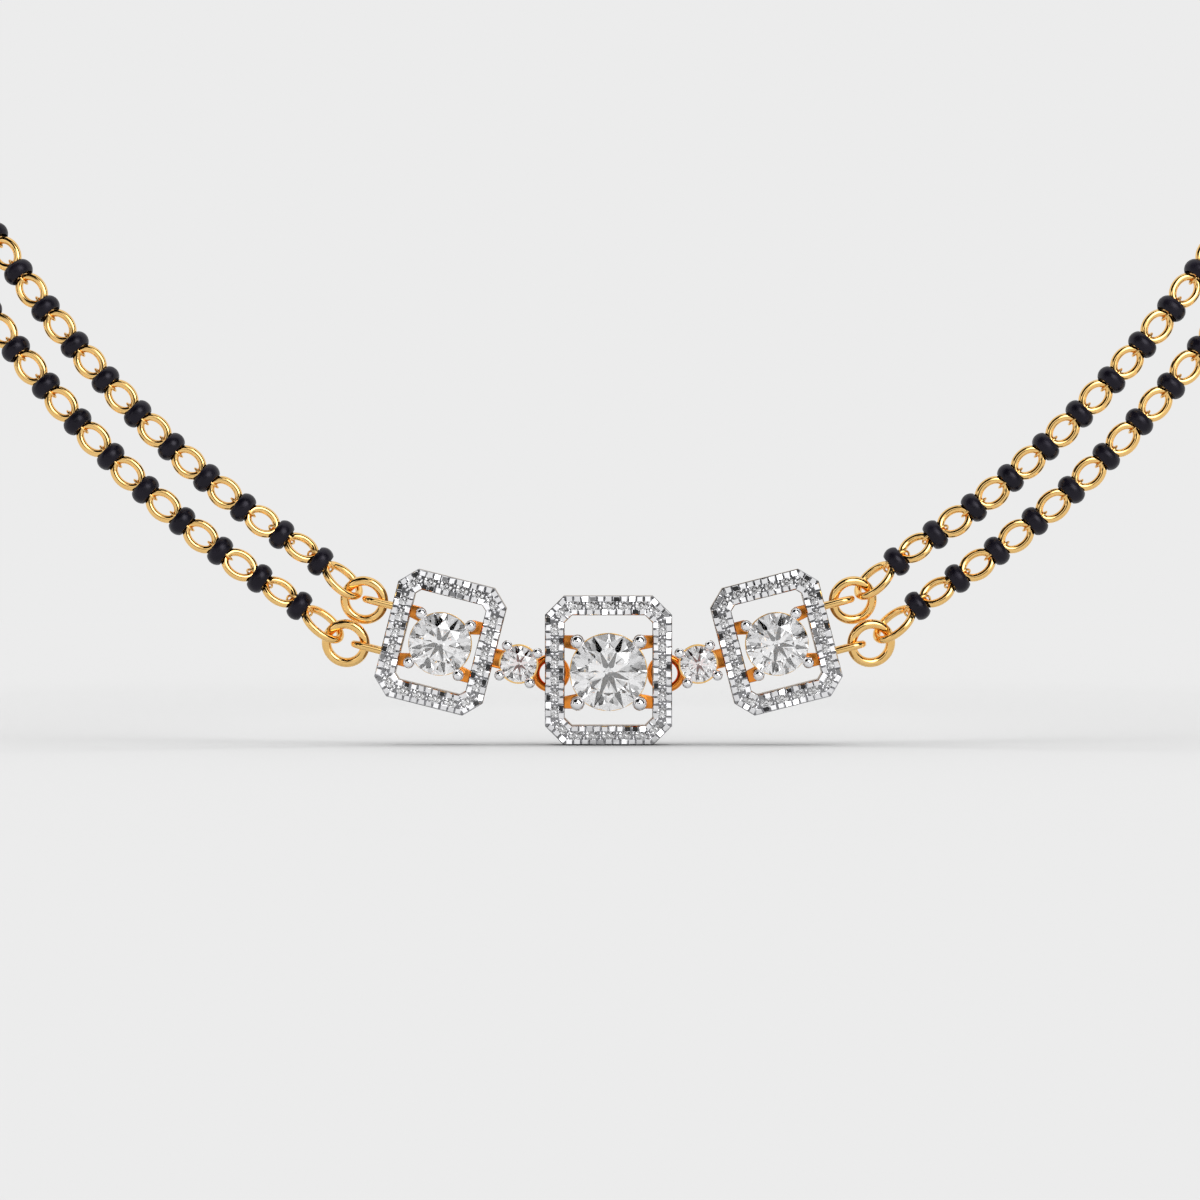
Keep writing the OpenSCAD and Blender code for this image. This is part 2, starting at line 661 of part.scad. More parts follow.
module upper_chain() chain(upper_strand, upper_ring_at, UPPER_FRONT);
module lower_chain() chain(lower_strand, lower_ring_at, LOWER_FRONT);
module upper_beads() beads(upper_strand, UPPER_FRONT);
module lower_beads() beads(lower_strand, LOWER_FRONT);
module upper_tail() tail(upper_strand, UPPER_FRONT);
module lower_tail() tail(lower_strand, LOWER_FRONT);
module right_upper_chain() worn() upper_chain();
module right_lower_chain() worn() lower_chain();
module left_upper_chain() worn() mirror([1, 0, 0]) upper_chain();
module left_lower_chain() worn() mirror([1, 0, 0]) lower_chain();
module right_upper_beads() worn() upper_beads();
module right_lower_beads() worn() lower_beads();
module left_upper_beads() worn() mirror([1, 0, 0]) upper_beads();
module left_lower_beads() worn() mirror([1, 0, 0]) lower_beads();
module right_upper_tail() worn() upper_tail();
module right_lower_tail() worn() lower_tail();
module left_upper_tail() worn() mirror([1, 0, 0]) upper_tail();
module left_lower_tail() worn() mirror([1, 0, 0]) lower_tail();

module end_ring() color(gold) translate(end_ring_at) rotate([90, 0, 0])
    wire_ring(end_ring_r, link_wire);
module right_end_ring() worn() end_ring();
module left_end_ring() worn() mirror([1, 0, 0]) end_ring();

// Hook plate: a closed hole for one end ring and an open one for the other
module clasp() color(gold) worn() translate(nape) {
    hole_r = link_wire / 2 + 3 * link_gap;
    linear_extrude(clasp_t, center = true) difference() {
        union() {
            square([clasp_span, clasp_w], center = true);
            for (s = [-1, 1]) translate([s * clasp_span / 2, 0]) circle(d = clasp_w, $fn = 48);
        }
        for (s = [-1, 1]) translate([s * clasp_span / 2, 0]) circle(r = hole_r, $fn = 32);
        translate([clasp_span / 2 - hole_r, 0]) square([link_wire + link_gap, clasp_w]);
    }
}

centre_frame();
left_frame();
right_frame();
centre_stone();
left_stone();
right_stone();
left_accent_stone();
right_accent_stone();
centre_pave();
left_pave();
right_pave();
left_upper_ring();
left_lower_ring();
right_upper_ring();
right_lower_ring();
left_upper_chain();
left_lower_chain();
right_upper_chain();
right_lower_chain();
left_upper_beads();
left_lower_beads();
right_upper_beads();
right_lower_beads();
left_upper_tail();
left_lower_tail();
right_upper_tail();
right_lower_tail();
left_end_ring();
right_end_ring();
clasp();
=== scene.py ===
# Mangalsutra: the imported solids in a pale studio, with the strands made link by link, the frames
# rebuilt with softened edges, the halos' grains, and procedural metal, diamond and bead materials.
import math
import random

import bpy
import numpy as np
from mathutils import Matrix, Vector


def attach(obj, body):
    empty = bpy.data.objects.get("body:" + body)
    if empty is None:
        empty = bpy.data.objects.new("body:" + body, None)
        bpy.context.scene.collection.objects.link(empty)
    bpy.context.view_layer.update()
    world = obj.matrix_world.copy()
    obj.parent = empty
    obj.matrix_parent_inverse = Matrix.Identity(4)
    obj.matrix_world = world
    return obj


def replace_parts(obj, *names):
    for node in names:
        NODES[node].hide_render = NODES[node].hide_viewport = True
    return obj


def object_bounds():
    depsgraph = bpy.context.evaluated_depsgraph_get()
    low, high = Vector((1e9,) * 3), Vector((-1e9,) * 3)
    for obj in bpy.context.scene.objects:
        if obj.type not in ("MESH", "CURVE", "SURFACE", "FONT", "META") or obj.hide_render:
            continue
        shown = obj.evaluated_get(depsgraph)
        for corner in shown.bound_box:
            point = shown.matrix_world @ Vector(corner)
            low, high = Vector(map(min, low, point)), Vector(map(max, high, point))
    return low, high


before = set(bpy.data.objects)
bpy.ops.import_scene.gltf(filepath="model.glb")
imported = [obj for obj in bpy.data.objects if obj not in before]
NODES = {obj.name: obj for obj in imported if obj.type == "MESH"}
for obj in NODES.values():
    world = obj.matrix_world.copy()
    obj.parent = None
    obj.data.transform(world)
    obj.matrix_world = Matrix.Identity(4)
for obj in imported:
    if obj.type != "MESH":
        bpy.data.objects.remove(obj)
cad_box = [list(corner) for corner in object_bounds()]
scene = bpy.context.scene
MM = 0.001

# Sizes in mm, as in the part's source. Pendant points are x across, y back and z up from the
# middle of the centre halo's face, and bench points are x across, y up and z towards the viewer.
NAPE = np.array([0, 119, 77.0])
CLASP_W = 2.4
TO_ROW = np.array([0, CLASP_W / 2, 0]) - NAPE
SIDE_TILT = math.radians(14.3)
CENTRE = {
    "w": 10.3, "h": 12.1, "corner": 1.54, "stone_d": 6.28, "ball_d": 1.17, "prong_out": 0.41,
}
SIDE = {"w": 9.05, "h": 10.65, "corner": 1.34, "stone_d": 5.1, "ball_d": 0.94, "prong_out": 0.36}
ACCENT = {"stone_d": 2.98, "ball_d": 0.87, "prong_out": 0.28}
BAND, HALO_DEEP = 1.58, 2.2
PAVE_D, PAVE_PITCH = 1.04, 1.34
STONE_DROP, GIRDLE_LIFT, GIRDLE = 0.15, 0.1, 0.03
STRUT_H, STRUT_FLARE, STRUT_DEEP = 0.94, 0.28, 0.9
TAB_LEN, TAB_H, TAB_RIM, TAB_DEEP, TAB_HOLLOW, TAB_BACK = 0.56, 1.54, 0.16, 1, 0.2, 1.3
EYE_D, EYE_WIRE, EYE_DROP, EYE_OUT, EYE_GAP, STAPLE_WIRE = 3.14, 0.66, 0.15, 0.34, 0.15, 0.5
SOLDER, STONE_GAP, SEAT_DEEP, SETTING_DEEP, DRUM_TOP = 0.35, 0.06, 0.16, 0.5, 0.6
STONE_RIM, ACCENT_RIM, ACCENT_DEEP = 0.03, 0.12, 1.1
# Shares: the rim's drop of a stone's width, the rim's bore of its radius, the posts' play of the
# gap at a stone, the drum's radii of the accent stone's, and a hole's radius of a small stone's width
RIM_DROP, RIM_BORE, POST_PLAY, DRUM_OUT, DRUM_BORE, HOLE_R = 0.12, 0.8, 0.8, 0.96, 0.55, 0.4
HALO_BEVEL = 0.07
BAIL_SPREAD, BAIL_REACH, BAIL_WIRE, BAIL_DROP = 3.76, 2.55, 0.6, 0.05
RING_D, RING_WIRE, RING_TURN, LINK_TURN, RING_SAG = 4, 0.78, 16, 56, 7
RING_OUT = {"upper": 0.76, "lower": 1.35}
PITCH = {"upper": 3.82, "lower": 3.9}
LINK_W, FIRST_LINK_W, LINK_WIRE = 2.5, 3.1, 0.64
BEAD_D, BEAD_LEN, BORE_R, LOOP_WIRE = 2.48, 1.66, 0.92, 0.2
END_RING_D, CLASP_SPAN = 5.7, 6.4
LINK_GAP, BEAD_GAP = 0.13, 0.1
FIRST_LINK_RISE, FIRST_LINK_BITE, TURN_FADE, END_SPREAD = 40, 0.36, 3, 26
ROUTE_STEPS = 8
FRONT = {"upper": 11, "lower": 10}
# Columns: across, back, up, and the way the links face in degrees round from the front
ROUTE = {
    "upper": [
        (19.85, 1.4, 5.65, 0), (23.4, 1.2, 8.8, 0), (29.7, 1.3, 13.2, 2), (35.6, 1.5, 18.2, 3),
        (41.2, 1.9, 23.9, 5), (46.4, 2.7, 30.1, 8), (51.2, 4.8, 36.8, 14), (55.9, 9.8, 44.2, 25),
        (60.3, 20.8, 52.8, 44), (63.3, 36.6, 60.8, 66), (63.9, 54.4, 67.0, 86),
        (61.0, 72.2, 71.6, 104), (53.8, 88.6, 74.8, 122), (42.7, 102.0, 77.2, 140),
        (30.0, 111.2, 79.0, 156), (20.0, 116.0, 79.9, 166), (13.2, 118.3, 79.8, 175),
    ],
    "lower": [
        (21.35, 1.4, 2.15, 0), (25.1, 1.2, 5.2, 0), (31.6, 1.3, 9.7, 2), (37.7, 1.5, 14.7, 3),
        (43.4, 1.9, 20.4, 5), (48.9, 2.7, 26.9, 8), (53.9, 4.8, 33.8, 14), (58.7, 9.8, 41.2, 25),
        (63.3, 21.0, 49.6, 44), (66.5, 37.2, 57.4, 66), (67.2, 55.4, 63.4, 86),
        (64.2, 73.9, 67.6, 104), (56.6, 91.0, 70.4, 122), (44.9, 104.8, 72.2, 140),
        (31.0, 113.4, 73.4, 156), (20.6, 117.2, 73.9, 168), (13.4, 118.7, 74.3, 176),
    ],
}

# Camera: the photo is 1200 pixels wide and 0.081 mm a pixel at the pendant
PHOTO_SIDE, PHOTO_SCALE = 1200, 0.081
PHOTO_MIDDLE = (608.5, 670.5)  # where the middle of the centre halo's face is in the photo
SENSOR, CAMERA_AWAY, CAMERA_RISE = 36, 400.0, 1.0


def linked(name, data):
    obj = bpy.data.objects.new(name, data)
    scene.collection.objects.link(obj)
    return obj


def make_camera():
    data = bpy.data.cameras.new("camera")
    data.sensor_width = SENSOR
    data.lens = SENSOR * CAMERA_AWAY / (PHOTO_SIDE * PHOTO_SCALE)
    data.clip_start, data.clip_end = 0.02, 60
    obj = linked("camera", data)
    aim = np.array([
        (PHOTO_SIDE / 2 - PHOTO_MIDDLE[0]) * PHOTO_SCALE, 0,
        (PHOTO_MIDDLE[1] - PHOTO_SIDE / 2) * PHOTO_SCALE,
    ])
    rise = math.radians(CAMERA_RISE)
    obj.location = MM * (aim + TO_ROW + CAMERA_AWAY * np.array([0, -math.cos(rise), math.sin(rise)]))
    obj.rotation_euler = (math.pi / 2 - rise, 0, 0)
    scene.camera = obj


make_camera()


# Vectors and places
def unit(v):
    return v / np.linalg.norm(v)


def turned(v, axis, degrees):
    a = math.radians(degrees)
    return v * math.cos(a) + np.cross(axis, v) * math.sin(a) + axis * (axis @ v) * (1 - math.cos(a))


def flattened(v, n):
    return unit(v - n * (n @ v))


def heading(radians):
    return np.array([math.cos(radians), 0, math.sin(radians)])


COS, SIN = math.cos(SIDE_TILT), math.sin(SIDE_TILT)
CORNER_CUT = 2 - math.sqrt(2)  # how much shorter an octagon's corner gets for each mm of inset
ACCENT_U = -(SIDE["w"] / 2 + TAB_LEN + ACCENT["stone_d"] / 2)
EYE_U, EYE_V = ACCENT_U - ACCENT["stone_d"] / 2 - EYE_D / 2 + SOLDER, -STONE_DROP - EYE_DROP
EYE_AT = np.array([CENTRE["w"] / 2 - BAND / 2 + EYE_OUT, EYE_V])
SIDE_AT = EYE_AT - np.array([EYE_U * COS - EYE_V * SIN, EYE_U * SIN + EYE_V * COS])
EYE_FRONT = -(HALO_DEEP + EYE_GAP)
BAIL_MID = -(HALO_DEEP / 2 + BAIL_DROP)
BAIL_R = RING_WIRE / 2 + LINK_GAP + BAIL_WIRE / 2
RING_R = (RING_D - RING_WIRE) / 2
FRONTWARD = np.array([0, -1.0, 0])
# Where a bench drawing stands in the pendant: its origin, its x direction and its z direction
CENTRE_STAND = (np.zeros(3), np.array([1.0, 0, 0]), FRONTWARD)
SIDE_STAND = (np.array([SIDE_AT[0], 0, SIDE_AT[1]]), heading(SIDE_TILT), FRONTWARD)


def side_place(p):
    """A bench point of the right side halo as a pendant point."""
    return np.array([SIDE_AT[0] + p[0] * COS - p[1] * SIN, -p[2], SIDE_AT[1] + p[0] * SIN + p[1] * COS])


FIRST_DIR = heading(math.radians(FIRST_LINK_RISE))
RING_NORMAL = turned(FRONTWARD, FIRST_DIR, RING_TURN)


def ring_place(row):
    up = 1 if row == "upper" else -1
    hold = side_place([SIDE["w"] / 2 + RING_OUT[row], up * BAIL_SPREAD / 2, BAIL_MID])
    return hold + RING_R * flattened(heading(SIDE_TILT - math.radians(RING_SAG)), RING_NORMAL)


# Strands: the bead's ring of round section, the links' ends and what lies between them
BEAD_MID_R = (BEAD_D - BEAD_LEN) / 2
BEAD_LIP = math.sqrt((BEAD_LEN / 2) ** 2 - (BORE_R - BEAD_MID_R) ** 2)
OVAL_B = (LINK_W - LINK_WIRE) / 2
OVAL_END_R = OVAL_B**2 / ((PITCH["upper"] - BEAD_LEN) / 2) + LINK_WIRE / 2
LINK_TIP = BEAD_LIP + math.sqrt((OVAL_END_R + BEAD_GAP) ** 2 - BORE_R**2) - OVAL_END_R
GRIP = LINK_TIP + LINK_WIRE / 2
LOOP_R = LINK_WIRE / 2 + LINK_GAP + LOOP_WIRE / 2
END_RING_R = (END_RING_D - LINK_WIRE) / 2
END_RING_AT = NAPE + np.array([CLASP_SPAN / 2 + END_RING_R, 0, 0])


class Strand:
    """The smooth route of a strand from its first bead to its last."""

    def __init__(self, row):
        table = np.array(ROUTE[row], float)
        last = len(table) - 1
        self.start = ring_place(row)
        fade = 1 - np.arange(last + 1) / last
        table[:, :3] += fade[:, None] * (self.start - table[0, :3])
        up = 1 if row == "upper" else -1
        spread = math.radians(END_SPREAD)
        end = END_RING_AT + (END_RING_R + GRIP) * np.array([math.cos(spread), 0, up * math.sin(spread)])
        p = np.vstack([table, [*end, 180]])
        last = len(p) - 1
        points = []
        for i in range(last):
            a, b, c, d = p[max(i - 1, 0)], p[i], p[i + 1], p[min(i + 2, last)]
            for j in range(ROUTE_STEPS):
                t = j / ROUTE_STEPS
                points.append(0.5 * (2 * b + (c - a) * t + (2 * a - 5 * b + 4 * c - d) * t * t
                                     + (3 * b - a - 3 * c + d) * t**3))
        points = np.array(points + [p[last]])
        steps = np.linalg.norm(np.diff(points[:, :3], axis=0), axis=1)
        self.s = np.concatenate([[0], np.cumsum(steps)])
        self.s -= self.s[ROUTE_STEPS]
        self.points = points
        self.long = self.s[-1]
        self.count = round(self.long / PITCH[row])
        self.pitch = self.long / self.count

    def at(self, s):
        return np.array([np.interp(s, self.s, self.points[:, k]) for k in range(3)])

    def along(self, s):
        return unit(self.at(min(s + 0.4, self.long)) - self.at(s - 0.4))

    def outward(self, s):
        f = math.radians(np.interp(s, self.s, self.points[:, 3]))
        return flattened(np.array([math.sin(f), -math.cos(f), 0]), self.along(s))

    def place(self, s, turn=0):
        t = self.along(s)
        return self.at(s), t, turned(self.outward(s), t, turn)


# Meshes: each shape is (points, faces) with the faces counted from its own first point
def wrapped(rows, sides, closed=True):
    """Quads between neighbouring rows of points, each row a ring of so many sides."""
    return [
        (i * sides + j, i * sides + (j + 1) % sides, ((i + 1) % rows) * sides + (j + 1) % sides,
         ((i + 1) % rows) * sides + j)
        for i in range(rows if closed else rows - 1) for j in range(sides)
    ]


def swept(path, normals, wire, sides, closed=True):
    """A round wire along a flat path with outward normals."""
    a = 2 * np.pi * np.arange(sides) / sides
    up = np.array([0, 0, 1.0])
    rings = path[:, None, :] + wire / 2 * (
        normals[:, None, :] * np.cos(a)[None, :, None] + up * np.sin(a)[None, :, None])
    faces = wrapped(len(path), sides, closed)
    if not closed:
        faces += [tuple(range(sides))[::-1], tuple(range((len(path) - 1) * sides, len(path) * sides))]
    return rings.reshape(-1, 3), faces


def oval(a, b, wire, steps, sides):
    t = 2 * np.pi * np.arange(steps) / steps
    path = np.stack([a * np.cos(t), b * np.sin(t), 0 * t], 1)
    normals = np.stack([b * np.cos(t), a * np.sin(t), 0 * t], 1)
    normals /= np.linalg.norm(normals, axis=1)[:, None]
    return swept(path, normals, wire, sides)


def stadium(half, r, wire, steps, sides):
    """A loop with straight sides along x and round ends, turned edge on."""
    t = np.linspace(-np.pi / 2, np.pi / 2, steps)
    normals = np.stack([np.cos(t), np.sin(t), 0 * t], 1)
    normals = np.vstack([normals, -normals])
    path = r * normals
    path[:steps, 0] += half
    path[steps:, 0] -= half
    points, faces = swept(path, normals, wire, sides)
    return np.stack([points[:, 0], -points[:, 2], points[:, 1]], 1), faces


def lathe(profile, sides, closed=True):
    """A shape turned about z: (radius, z) points counterclockwise, poles where the radius is 0."""
    points, rows = [], []
    a = 2 * np.pi * np.arange(sides) / sides
    for r, z in profile:
        k = len(points)
        if r == 0:
            rows.append([k] * sides)
            points.append((0, 0, z))
        else:
            rows.append(list(range(k, k + sides)))
            points += [(r * math.cos(b), r * math.sin(b), z) for b in a]
    faces = []
    for low, high in zip(rows, rows[1:] + rows[:1] if closed else rows[1:]):
        for j in range(sides):
            k = (j + 1) % sides
            face = [low[j], low[k], high[k], high[j]]
            faces.append(tuple(dict.fromkeys(face)))
    return np.array(points, float), faces


def ball(d, steps=20, sides=32):
    t = np.linspace(-np.pi / 2, np.pi / 2, steps + 1)
    profile = [(d / 2 * math.cos(a), d / 2 * math.sin(a)) for a in t]
    profile[0], profile[-1] = (0, -d / 2), (0, d / 2)
    return lathe(profile, sides, False)


def prism(outline, low, high):
    """A block over a counterclockwise outline."""
    n = len(outline)
    points = [(x, y, z) for z in (low, high) for x, y in outline]
    faces = [tuple(range(n))[::-1], tuple(range(n, 2 * n))] + wrapped(2, n, False)
    return np.array(points, float), faces


def bead(steps, sides, soft_angle=0.06, soft=0.08):
    """A drilled roundel, its axis along x: the wall is a ring of round section, cut by the bore."""
    r, lip = BEAD_LEN / 2, math.atan2(BEAD_LIP, BORE_R - BEAD_MID_R)
    t = np.linspace(-lip + soft_angle, lip - soft_angle, steps)
    profile = [(BEAD_MID_R + r * math.cos(a), r * math.sin(a)) for a in t]
    profile += [(BORE_R, BEAD_LIP - soft), (BORE_R, soft - BEAD_LIP)]
    points, faces = lathe(profile, sides)
    return np.stack([points[:, 2], points[:, 0], points[:, 1]], 1), faces


def moved(shape, offset):
    return shape[0] + np.asarray(offset, float), shape[1]


class Group:
    """Shapes gathered into one mesh."""

    def __init__(self):
        self.points, self.faces, self.count = [], [], 0

    def add(self, shape, origin=(0, 0, 0), t=(1, 0, 0), n=(0, 0, 1)):
        t, n = np.asarray(t, float), np.asarray(n, float)
        w = np.cross(n, t)
        points, faces = shape
        self.points.append(points @ np.stack([t, w, n]) + np.asarray(origin, float))
        self.faces += [tuple(k + self.count for k in f) for f in faces]
        self.count += len(points)

    def shape(self):
        return np.vstack(self.points), self.faces

    def mesh(self, name, flip):
        """The mesh in the frame's place, mirrored for the left side."""
        points, faces = self.shape()
        if flip:
            points = points * np.array([-1, 1, 1])
            faces = [f[::-1] for f in faces]
        mesh = bpy.data.meshes.new(name)
        mesh.from_pydata((MM * (points + TO_ROW)).tolist(), [], faces)
        return mesh

    def piece(self, name, material, slot, flip=False, smooth=True):
        mesh = self.mesh(name, flip)
        mesh.polygons.foreach_set("use_smooth", [smooth] * len(mesh.polygons))
        mesh.materials.append(material)
        mesh.update()
        obj = linked(name, mesh)
        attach(obj, "root")
        return obj


def soften(obj, width):
    """Rounds the sharp edges and keeps the flat faces flat."""
    bevel = obj.modifiers.new("soft_edges", "BEVEL")
    bevel.width = MM * width
    bevel.segments = 2
    bevel.limit_method = "ANGLE"
    bevel.angle_limit = math.radians(35)
    bevel.harden_normals = True


# Materials
def new_material(name):
    """A node material, its nodes and links, and its shader."""
    m = bpy.data.materials.new(name)
    m.use_nodes = True
    nodes, links = m.node_tree.nodes, m.node_tree.links
    return m, nodes, links, nodes["Principled BSDF"]


def add_noise(nodes, links, scale, detail=3.0):
    """The place on the object in metres, and noise by it."""
    where = nodes.new("ShaderNodeTexCoord")
    noise = nodes.new("ShaderNodeTexNoise")
    noise.inputs["Scale"].default_value = scale
    noise.inputs["Detail"].default_value = detail
    links.new(where.outputs["Object"], noise.inputs["Vector"])
    return where, noise


def ranged(nodes, links, source, low, high, from_low=0.3, from_high=0.7):
    """The source's range, by default the middle of a noise, made to run from low to high."""
    n = nodes.new("ShaderNodeMapRange")
    n.inputs["From Min"].default_value = from_low
    n.inputs["From Max"].default_value = from_high
    n.inputs["To Min"].default_value = low
    n.inputs["To Max"].default_value = high
    links.new(source, n.inputs["Value"])
    return n.outputs["Result"]


def blended(nodes, links, factor, a, b):
    n = nodes.new("ShaderNodeMix")
    n.data_type = "RGBA"
    n.inputs[6].default_value = (*a, 1)
    n.inputs[7].default_value = (*b, 1)
    links.new(factor, n.inputs[0])
    return n.outputs[2]


def bumped(nodes, links, height, distance, strength, bsdf):
    n = nodes.new("ShaderNodeBump")
    n.inputs["Distance"].default_value = distance
    n.inputs["Strength"].default_value = strength
    links.new(height, n.inputs["Height"])
    links.new(n.outputs["Normal"], bsdf.inputs["Normal"])


def metal(name, light, deep, rough, scale=900, uneven=0.0):
    """Polished metal whose tone and polish wander a little, on a surface that is uneven if asked."""
    m, nodes, links, bsdf = new_material(name)
    bsdf.inputs["Metallic"].default_value = 1.0
    _, noise = add_noise(nodes, links, scale)
    links.new(blended(nodes, links, noise.outputs["Fac"], deep, light), bsdf.inputs["Base Color"])
    links.new(ranged(nodes, links, noise.outputs["Fac"], *rough), bsdf.inputs["Roughness"])
    if uneven:
        _, waves = add_noise(nodes, links, 1100, 0.0)
        bumped(nodes, links, waves.outputs["Fac"], 0.0003, uneven, bsdf)
    return m


# The frames' front and side walls, and where the plating ends behind the face, in metres.
# The rhodium front is darkened as painted shade between the grains, and the bare gold behind is darkened to
# brown as painted shade on the side walls
SHADED_PLATE, SHADED_WALL = (0.3, 0.3, 0.31), (0.4, 0.3, 0.2)
PLATE_ROUGH, WALL_ROUGH = 0.1, 0.42
PLATE_END, PLATE_WAVER = (0.00024, 0.00034), 0.00012


def plated_material():
    """Rhodium on the front of a frame and bare gold behind, with a slightly wavering edge, both darkened as
    painted shade.
    """
    m, nodes, links, bsdf = new_material("shaded_rhodium_over_gold")
    bsdf.inputs["Metallic"].default_value = 1.0
    where, noise = add_noise(nodes, links, 1500)
    split = nodes.new("ShaderNodeSeparateXYZ")
    links.new(where.outputs["Object"], split.inputs["Vector"])
    waver = nodes.new("ShaderNodeMath")
    waver.operation = "MULTIPLY_ADD"
    waver.inputs[1].default_value = PLATE_WAVER
    links.new(noise.outputs["Fac"], waver.inputs[0])
    links.new(split.outputs["Y"], waver.inputs[2])
    edge = [MM * TO_ROW[1] + end for end in PLATE_END]
    behind = ranged(nodes, links, waver.outputs["Value"], 0, 1, *edge)
    rough = ranged(nodes, links, waver.outputs["Value"], PLATE_ROUGH, WALL_ROUGH, *edge)
    # Painted shade: darkened rhodium in front, gold darkened to brown behind
    links.new(blended(nodes, links, behind, SHADED_PLATE, SHADED_WALL), bsdf.inputs["Base Color"])
    links.new(rough, bsdf.inputs["Roughness"])
    return m


def diamond_material():
    m, nodes, links, bsdf = new_material("diamond")
    bsdf.inputs["Base Color"].default_value = (0.99, 0.99, 1.0, 1)
    bsdf.inputs["Roughness"].default_value = 0.0
    bsdf.inputs["IOR"].default_value = 2.42
    bsdf.inputs["Transmission Weight"].default_value = 1.0
    return m


def bead_material():
    m, nodes, links, bsdf = new_material("black_bead")
    _, noise = add_noise(nodes, links, 1100, 3.0)
    links.new(blended(nodes, links, ranged(nodes, links, noise.outputs["Fac"], 0, 1),
                      (0.002, 0.0015, 0.004), (0.006, 0.0045, 0.01)), bsdf.inputs["Base Color"])
    links.new(ranged(nodes, links, noise.outputs["Fac"], 0.26, 0.42), bsdf.inputs["Roughness"])
    bsdf.inputs["IOR"].default_value = 1.5
    bsdf.inputs["Specular IOR Level"].default_value = 0.25
    bsdf.inputs["Specular Tint"].default_value = (0.9, 0.86, 1.0, 1)
    _, uneven = add_noise(nodes, links, 1300, 1.0)
    bumped(nodes, links, uneven.outputs["Fac"], 0.00008, 0.35, bsdf)
    return m


GOLD = metal("polished_gold", light=(0.95, 0.63, 0.25), deep=(0.89, 0.54, 0.18), rough=(0.03, 0.06))
# The same gold made deep orange as painted shade and painted gold-to-gold reflection in the recesses
SHADED_GOLD = metal(
    "shaded_gold", light=(0.95, 0.37, 0.07), deep=(0.84, 0.25, 0.03), rough=(0.12, 0.2), uneven=0.12)
RHODIUM = metal(
    "polished_rhodium", light=(0.93, 0.93, 0.94), deep=(0.86, 0.86, 0.88), rough=(0.02, 0.05), scale=1100)
PLATED = plated_material()
DIAMOND = diamond_material()
BEAD = bead_material()


# Strands: links, joining loops and beads from the jump ring to the end ring
def link_turn(k):
    return -LINK_TURN * max(0, 1 - k / TURN_FADE)


def make_strand(row):
    """The links and loops of a strand, and its beads, with finer meshes where the photo shows it."""
    strand = Strand(row)
    half = strand.pitch / 2
    gold, beads = Group(), Group()
    fine = {True: (56, 16), False: (32, 8)}
    loops = {f: stadium(GRIP, LOOP_R, LOOP_WIRE, *(9, 8) if f else (6, 6)) for f in fine}
    links = {f: oval(half - GRIP, OVAL_B, LINK_WIRE, *fine[f]) for f in fine}
    bead_shapes = {True: bead(20, 40), False: bead(11, 20)}
    far = strand.at(0) - GRIP * strand.along(0)
    t = unit(far - strand.start)
    long = np.linalg.norm(far - strand.start) - FIRST_LINK_BITE - LINK_WIRE / 2
    n = turned(flattened(FRONTWARD, t), t, link_turn(0))
    first = oval(long / 2, (FIRST_LINK_W - LINK_WIRE) / 2, LINK_WIRE, *fine[True])
    gold.add(first, far - t * long / 2, t, n)
    for k in range(strand.count + 1):
        near = k <= FRONT[row]
        s = k * strand.pitch
        gold.add(loops[near], *strand.place(s, link_turn(k + 0.5)))
        beads.add(bead_shapes[near], *strand.place(s))
        if k < strand.count:
            gold.add(links[near], *strand.place(s + half, link_turn(k + 1)))
    return gold, beads


for row in ("upper", "lower"):
    gold, beads = make_strand(row)
    ring = Group()
    ring.add(oval(RING_R, RING_R, RING_WIRE, 72, 20), ring_place(row), FIRST_DIR, RING_NORMAL)
    for side in ("left", "right"):
        flip, name = side == "left", f"{side}_{row}"
        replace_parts(gold.piece(f"{name}_links", GOLD, "gold", flip), f"{name}_chain", f"{name}_tail")
        roundels = beads.piece(f"{name}_roundels", BEAD, "black_bead", flip)
        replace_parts(roundels, f"{name}_beads", f"{name}_tail")
        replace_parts(ring.piece(f"{name}_jump_ring", GOLD, "gold", flip), f"{name}_ring")
for side in ("left", "right"):
    ring = Group()
    ring.add(oval(END_RING_R, END_RING_R, LINK_WIRE, 72, 16), END_RING_AT, (1, 0, 0), (0, -1, 0))
    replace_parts(ring.piece(f"{side}_gather_ring", GOLD, "gold", side == "left"), f"{side}_end_ring")


# Frames: the halo with its drilled seats, the prong balls, and the gold parts behind them
def octagon(w, h, c):
    """A rectangle with cut corners, counterclockwise from the right."""
    quarter = [(w / 2, h / 2 - c), (w / 2 - c, h / 2)]
    half = quarter + [(-x, y) for x, y in quarter[::-1]]
    return half + [(-x, -y) for x, y in half]


def pave_spots(size):
    """The middles of the small stones: along the four bars and one on each cut corner."""
    w, h, c = size["w"], size["h"], size["corner"]
    x, y = w / 2 - BAND / 2, h / 2 - BAND / 2
    nx, ny = (int((side - 2 * c) / PAVE_PITCH) for side in (w, h))
    inset = c / 2 + BAND / 2 * math.sqrt(0.5)
    spots = [((i - (nx - 1) / 2) * PAVE_PITCH, s * y) for i in range(nx) for s in (-1, 1)]
    spots += [(s * x, (i - (ny - 1) / 2) * PAVE_PITCH) for i in range(ny) for s in (-1, 1)]
    return spots + [(s * (w / 2 - inset), t * (h / 2 - inset)) for s in (-1, 1) for t in (-1, 1)]


def inset_octagon(size, inset):
    """A halo's outer outline, moved in by so much."""
    return octagon(size["w"] - 2 * inset, size["h"] - 2 * inset, size["corner"] - CORNER_CUT * inset)


